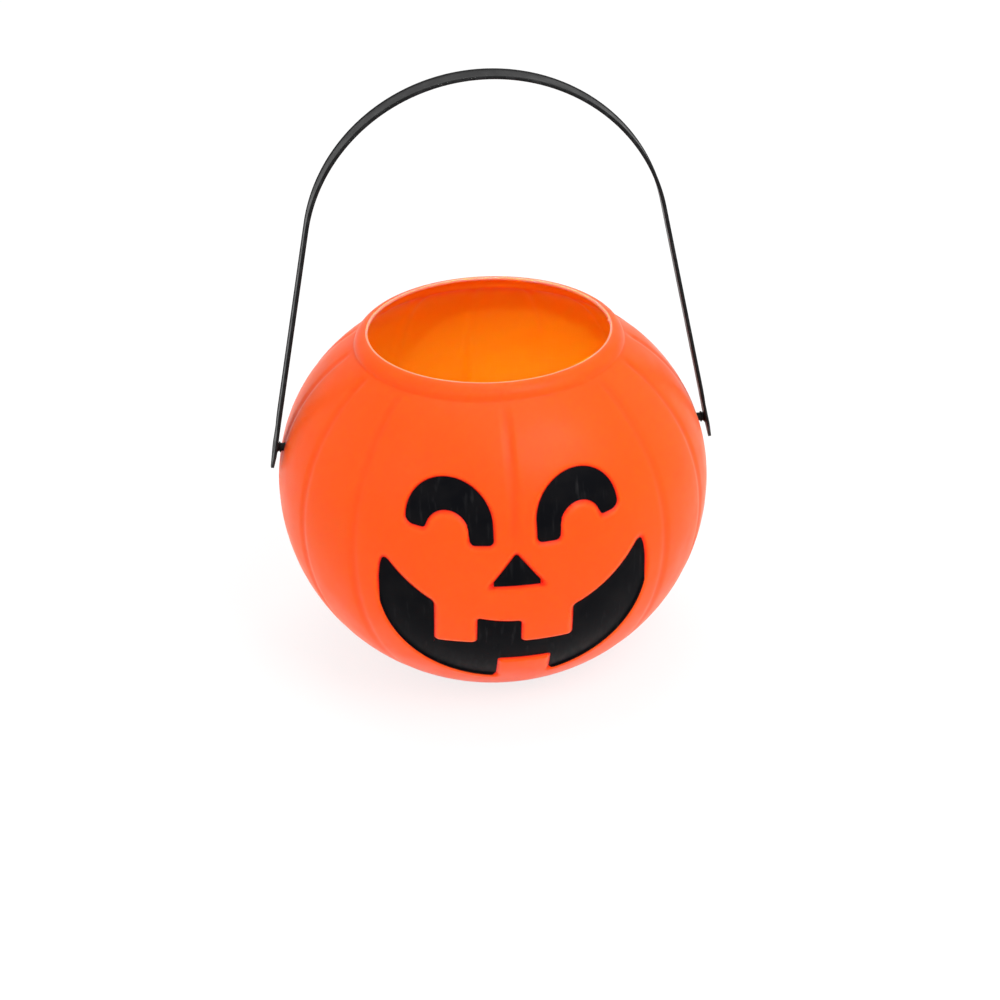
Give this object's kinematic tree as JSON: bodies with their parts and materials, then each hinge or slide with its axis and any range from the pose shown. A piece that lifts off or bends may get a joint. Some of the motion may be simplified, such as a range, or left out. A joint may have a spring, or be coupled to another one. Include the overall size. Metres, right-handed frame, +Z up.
{
  "type": "pumpkin candy pail",
  "caption": "Blow-moulded pumpkin pail with an open neck, a sunken and painted jack-o'-lantern face, and a strap handle that swings on snap-in pegs, for carrying sweets.",
  "frame": {"origin": "middle of the standing ring, on the surface the pail stands on", "axes": "+Z up through the mouth, -Y out of the face, X along the line between the handle's pegs"},
  "size_m": [0.1654, 0.1599, 0.2286],
  "materials": {
    "orange_plastic": "satin, slightly translucent",
    "black_paint": "satin",
    "black_plastic": "satin"
  },
  "bodies": {
    "pail": {"pail_shell": "orange_plastic", "left_eye_paint": "black_paint", "right_eye_paint": "black_paint", "nose_paint": "black_paint", "mouth_paint": "black_paint"},
    "handle": {"handle_strap": "black_plastic"}
  },
  "joints": [
    {"name": "handle_swing", "type": "hinge", "parent": "pail", "child": "handle", "pos_m": [0, 0, 0.0868], "axis": [1, 0, 0], "range_deg": [-85, 85]}
  ]
}
